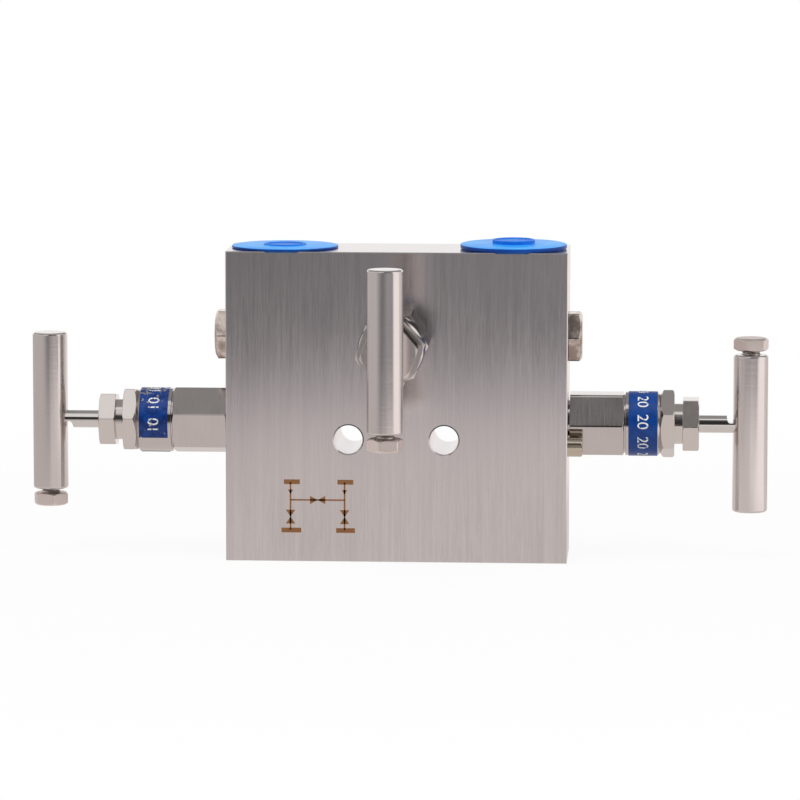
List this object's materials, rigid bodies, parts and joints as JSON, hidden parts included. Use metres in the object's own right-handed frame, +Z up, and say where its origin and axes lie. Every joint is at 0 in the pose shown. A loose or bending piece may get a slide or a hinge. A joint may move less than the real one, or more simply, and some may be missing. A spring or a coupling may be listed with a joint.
{
  "type": "instrument valve manifold",
  "caption": "Steel valve manifold block with isolating needle valves on both sides, an equalizing valve in front, T-bar handles, vent plugs and capped ports.",
  "frame": {"origin": "centre of the block's bottom face", "axes": "+X towards the right isolating valve, +Y away from the equalizing valve, +Z up"},
  "size_m": [0.2326, 0.0955, 0.1005],
  "materials": {
    "block_steel": "vertical brushed grain",
    "bonnet_steel": "fine turned and milled",
    "nut_steel": "fine milled",
    "plug_steel": "coarse cast and milled",
    "pin_steel": "ground",
    "stem_steel": "polished",
    "handle_steel": "drawn bar",
    "bolt_steel": "cold headed",
    "gland_steel": "turned",
    "packing": "white fluoropolymer",
    "gasket": "graphite filled",
    "blue_band": "printed film",
    "cap_plastic": "soft moulded polyethylene"
  },
  "bodies": {
    "block": {"manifold_block": "block_steel", "left_vent_plug": "plug_steel", "right_vent_plug": "plug_steel", "bonnet_lock_pins": "pin_steel", "left_isolating_bonnet": "bonnet_steel", "left_isolating_bonnet_gasket": "gasket", "left_isolating_id_band": "blue_band", "left_isolating_lock_nut": "nut_steel", "left_isolating_packing_bolt": "nut_steel", "left_isolating_gland_ring": "gland_steel", "left_isolating_packing_rings": "packing", "left_isolating_packing_washer": "gland_steel", "right_isolating_bonnet": "bonnet_steel", "right_isolating_bonnet_gasket": "gasket", "right_isolating_id_band": "blue_band", "right_isolating_lock_nut": "nut_steel", "right_isolating_packing_bolt": "nut_steel", "right_isolating_gland_ring": "gland_steel", "right_isolating_packing_rings": "packing", "right_isolating_packing_washer": "gland_steel", "equalizing_bonnet": "bonnet_steel", "equalizing_bonnet_gasket": "gasket", "equalizing_id_band": "blue_band", "equalizing_lock_nut": "nut_steel", "equalizing_packing_bolt": "nut_steel", "equalizing_gland_ring": "gland_steel", "equalizing_packing_rings": "packing", "equalizing_packing_washer": "gland_steel"},
    "left_isolating_tip": {"left_isolating_needle_tip": "stem_steel"},
    "left_isolating_handle": {"left_isolating_stem": "stem_steel", "left_isolating_handle_bar": "handle_steel", "left_isolating_handle_bolt": "bolt_steel"},
    "right_isolating_tip": {"right_isolating_needle_tip": "stem_steel"},
    "right_isolating_handle": {"right_isolating_stem": "stem_steel", "right_isolating_handle_bar": "handle_steel", "right_isolating_handle_bolt": "bolt_steel"},
    "equalizing_tip": {"equalizing_needle_tip": "stem_steel"},
    "equalizing_handle": {"equalizing_stem": "stem_steel", "equalizing_handle_bar": "handle_steel", "equalizing_handle_bolt": "bolt_steel"},
    "left_cap": {"left_dust_cap": "cap_plastic"},
    "right_cap": {"right_dust_cap": "cap_plastic"}
  },
  "joints": [
    {"name": "left_isolating_lift", "type": "slide", "parent": "block", "child": "left_isolating_tip", "axis": [-1, 0, 0], "range_m": [-0.00176, 0.00226]},
    {"name": "left_isolating_turn", "type": "hinge", "parent": "left_isolating_tip", "child": "left_isolating_handle", "pos_m": [-0.0535, 0, 0.0425], "axis": [-1, 0, 0], "range_deg": [-630, 810]},
    {"name": "right_isolating_lift", "type": "slide", "parent": "block", "child": "right_isolating_tip", "axis": [1, 0, 0], "range_m": [-0.00176, 0.00226]},
    {"name": "right_isolating_turn", "type": "hinge", "parent": "right_isolating_tip", "child": "right_isolating_handle", "pos_m": [0.0535, 0, 0.0425], "axis": [1, 0, 0], "range_deg": [-630, 810]},
    {"name": "equalizing_lift", "type": "slide", "parent": "block", "child": "equalizing_tip", "axis": [0, -1, 0], "range_m": [-0.00176, 0.00226]},
    {"name": "equalizing_turn", "type": "hinge", "parent": "equalizing_tip", "child": "equalizing_handle", "pos_m": [0, -0.016, 0.07], "axis": [0, -1, 0], "range_deg": [-630, 810]},
    {"name": "left_cap_pull", "type": "slide", "parent": "block", "child": "left_cap", "axis": [0, 0, 1], "range_m": [0, 0.025]},
    {"name": "right_cap_pull", "type": "slide", "parent": "block", "child": "right_cap", "axis": [0, 0, 1], "range_m": [0, 0.025]}
  ],
  "couplings": [
    {"joint": "left_isolating_lift", "follows": "left_isolating_turn", "m_per_rad": 0.00015915},
    {"joint": "right_isolating_lift", "follows": "right_isolating_turn", "m_per_rad": 0.00015915},
    {"joint": "equalizing_lift", "follows": "equalizing_turn", "m_per_rad": 0.00015915}
  ]
}
